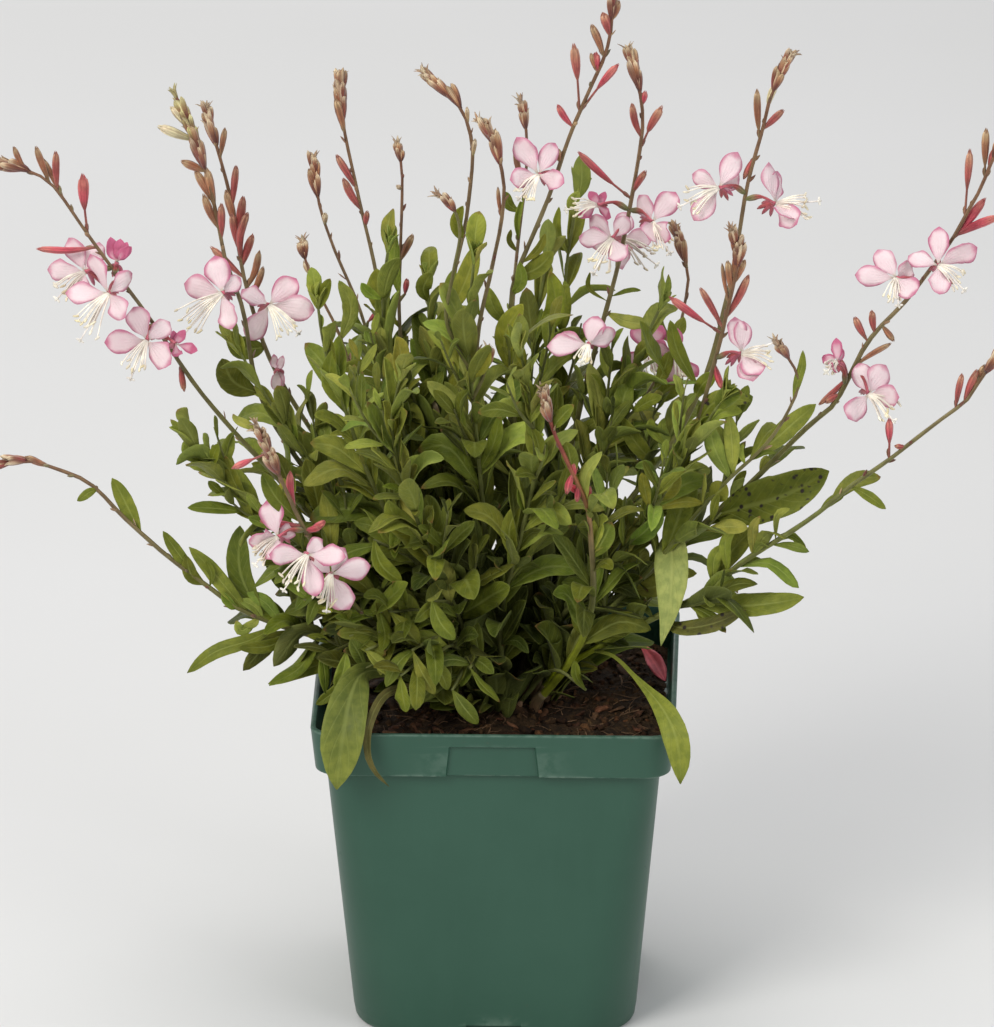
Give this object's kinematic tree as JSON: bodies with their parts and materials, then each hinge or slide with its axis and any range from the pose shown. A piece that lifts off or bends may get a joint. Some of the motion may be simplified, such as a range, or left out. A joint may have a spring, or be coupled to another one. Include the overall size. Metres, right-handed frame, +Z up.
{
  "type": "potted gaura",
  "caption": "Square tapered nursery pot of compost with a young gaura: arching red-green stems, narrow leaves, pink buds and butterfly-like white flowers edged pink.",
  "frame": {"origin": "middle of the pot's underside, on the surface it stands on", "axes": "+Z up; the pot's front side, with the recessed label panel, faces -Y; +X to the right seen from the front"},
  "size_m": [0.3663, 0.1906, 0.3788],
  "materials": {
    "pot": "satin, dark blue-green moulded plastic",
    "soil": "rough moist peat with bark chips and fibres",
    "crown": "rough woody crown with basal leaves",
    "leafy_shoot": "satin olive-green leaves on green stems",
    "flower_spike": "green stems turning red-brown, with pink and brown buds",
    "petal": "soft white petals with pink margins",
    "red_leaf": "satin crimson old leaf"
  },
  "bodies": {
    "root": {"pot": "pot", "soil": "soil", "root_crown": "crown", "flower_stem_01": "flower_spike", "flower_stem_02": "flower_spike", "flower_stem_03": "flower_spike", "flower_stem_04": "flower_spike", "flower_stem_05": "flower_spike", "flower_stem_06": "flower_spike", "flower_stem_07": "flower_spike", "flower_stem_08": "flower_spike", "flower_stem_09": "flower_spike", "flower_stem_10": "flower_spike", "flower_stem_11": "flower_spike", "flower_stem_12": "flower_spike", "flower_stem_13": "flower_spike", "flower_stem_14": "flower_spike", "flower_stem_15": "flower_spike", "flower_stem_16": "flower_spike", "flower_stem_17": "flower_spike", "flower_stem_18": "flower_spike", "flower_stem_19": "flower_spike", "flower_stem_20": "flower_spike", "flower_stem_21": "flower_spike", "leafy_shoot_01": "leafy_shoot", "leafy_shoot_02": "leafy_shoot", "leafy_shoot_03": "leafy_shoot", "leafy_shoot_04": "leafy_shoot", "leafy_shoot_05": "leafy_shoot", "leafy_shoot_06": "leafy_shoot", "leafy_shoot_07": "leafy_shoot", "leafy_shoot_08": "leafy_shoot", "leafy_shoot_09": "leafy_shoot", "leafy_shoot_10": "leafy_shoot", "leafy_shoot_11": "leafy_shoot", "leafy_shoot_12": "leafy_shoot", "leafy_shoot_13": "leafy_shoot", "leafy_shoot_14": "leafy_shoot", "flower_01": "petal", "flower_02": "petal", "flower_03": "petal", "flower_04": "petal", "flower_05": "petal", "flower_06": "petal", "flower_07": "petal", "flower_08": "petal", "flower_09": "petal", "flower_10": "petal", "flower_11": "petal", "flower_12": "petal", "flower_13": "petal", "flower_14": "petal", "flower_15": "petal", "flower_16": "petal", "flower_17": "petal", "flower_18": "petal", "flower_19": "petal", "flower_20": "petal", "flower_21": "petal", "fallen_red_leaf": "red_leaf"}
  },
  "joints": []
}
